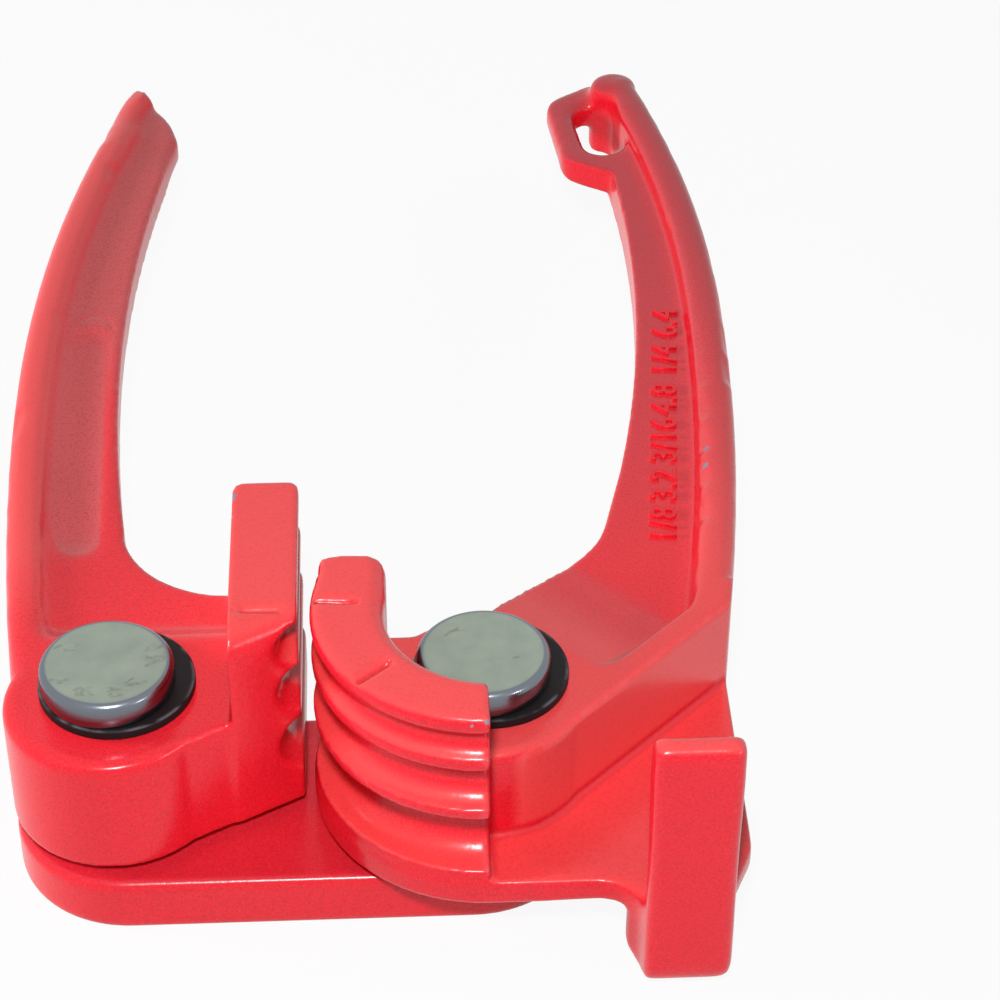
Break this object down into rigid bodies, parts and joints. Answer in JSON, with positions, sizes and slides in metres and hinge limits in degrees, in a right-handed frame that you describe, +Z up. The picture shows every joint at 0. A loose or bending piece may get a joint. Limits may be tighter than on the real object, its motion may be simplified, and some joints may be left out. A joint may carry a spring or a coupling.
{
  "type": "brake pipe bender",
  "caption": "Hand pipe bender: two ribbed cast handles on a link plate, one with a grooved quarter-round former and a hook post, the other with a grooved straight shoe.",
  "frame": {"origin": "centre of the link plate's flat underside, midway between the two pivot pins", "axes": "+X from the shoe's pivot pin to the former's pivot pin, +Y along the handles, +Z up along the pivot pins"},
  "size_m": [0.0774, 0.1363, 0.031],
  "materials": {
    "red_paint": "gloss red paint on a casting",
    "zinc": "zinc plated, satin",
    "black_steel": "blackened steel, satin"
  },
  "bodies": {
    "link": {"link_plate": "red_paint", "former_pin": "zinc", "shoe_pin": "zinc", "former_top_washer": "black_steel", "shoe_top_washer": "black_steel", "former_thrust_washer": "black_steel", "shoe_thrust_washer": "black_steel"},
    "former_lever": {"former_handle": "red_paint"},
    "shoe_lever": {"shoe_handle": "red_paint"}
  },
  "joints": [
    {"name": "former_pivot", "type": "hinge", "parent": "link", "child": "former_lever", "pos_m": [0.0176, 0, 0.01355], "axis": [0, 0, 1], "range_deg": [-90, 12]},
    {"name": "shoe_pivot", "type": "hinge", "parent": "link", "child": "shoe_lever", "pos_m": [-0.0176, 0, 0.01355], "axis": [0, 0, 1], "range_deg": [-8, 95]}
  ]
}
